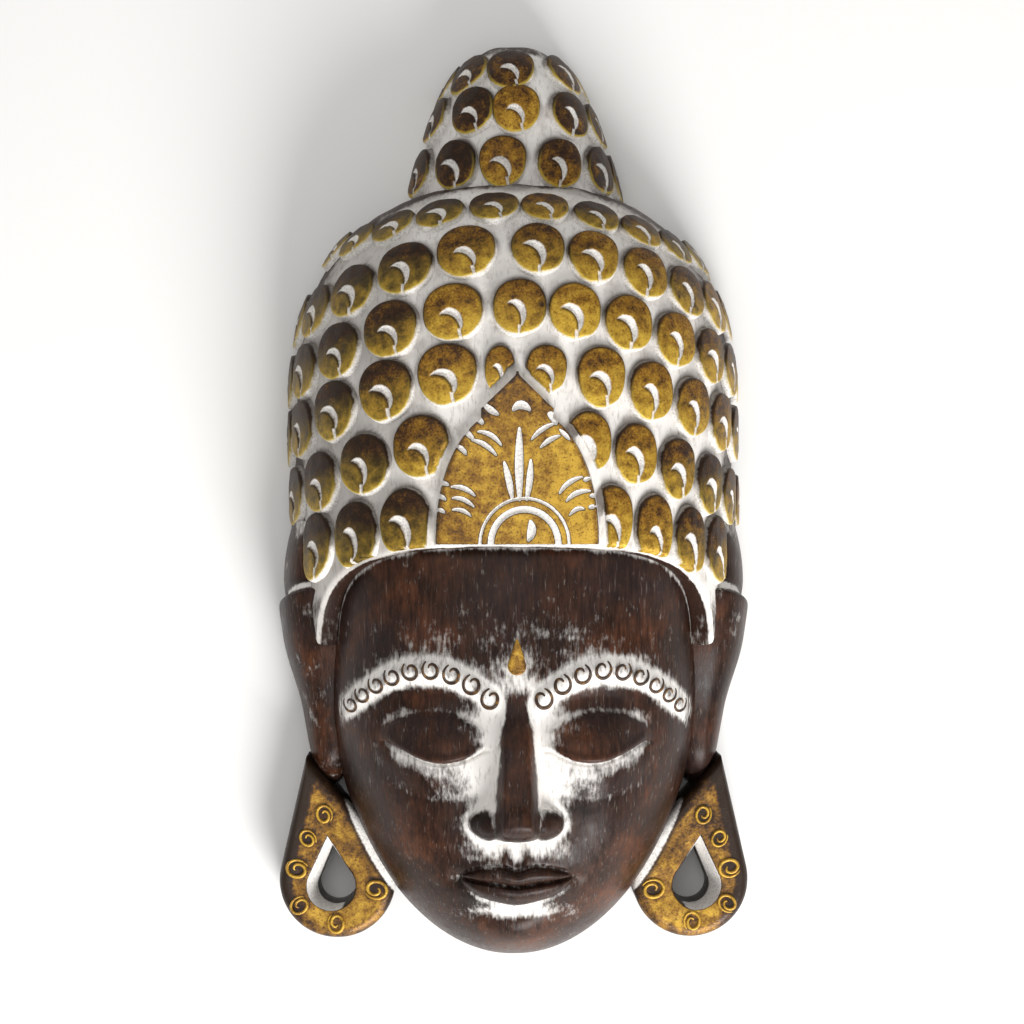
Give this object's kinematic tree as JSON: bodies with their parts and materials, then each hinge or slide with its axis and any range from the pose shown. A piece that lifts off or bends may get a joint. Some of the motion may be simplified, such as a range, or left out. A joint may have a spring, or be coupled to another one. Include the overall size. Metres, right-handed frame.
{
  "type": "carved buddha mask",
  "caption": "Hand-carved wooden wall mask of a calm buddha head with snail-shell curls, crown knot, arched plaque and pierced ear lobes, hollow behind and lying on its flat back rim.",
  "frame": {"origin": "centre of the bounding box's underside, on the plane of the flat back rim", "axes": "+X across the face to the viewer's right, +Y from the chin to the crown knot, +Z out of the face, so the mask lies on its back looking up"},
  "size_m": [0.2548, 0.5, 0.1261],
  "materials": {
    "carved_wood": "dark brown stained wood with whitewash left in the grooves and worn gold paint on the curls, plaque and ear lobes"
  },
  "bodies": {
    "root": {"carved_mask": "carved_wood"}
  },
  "joints": []
}
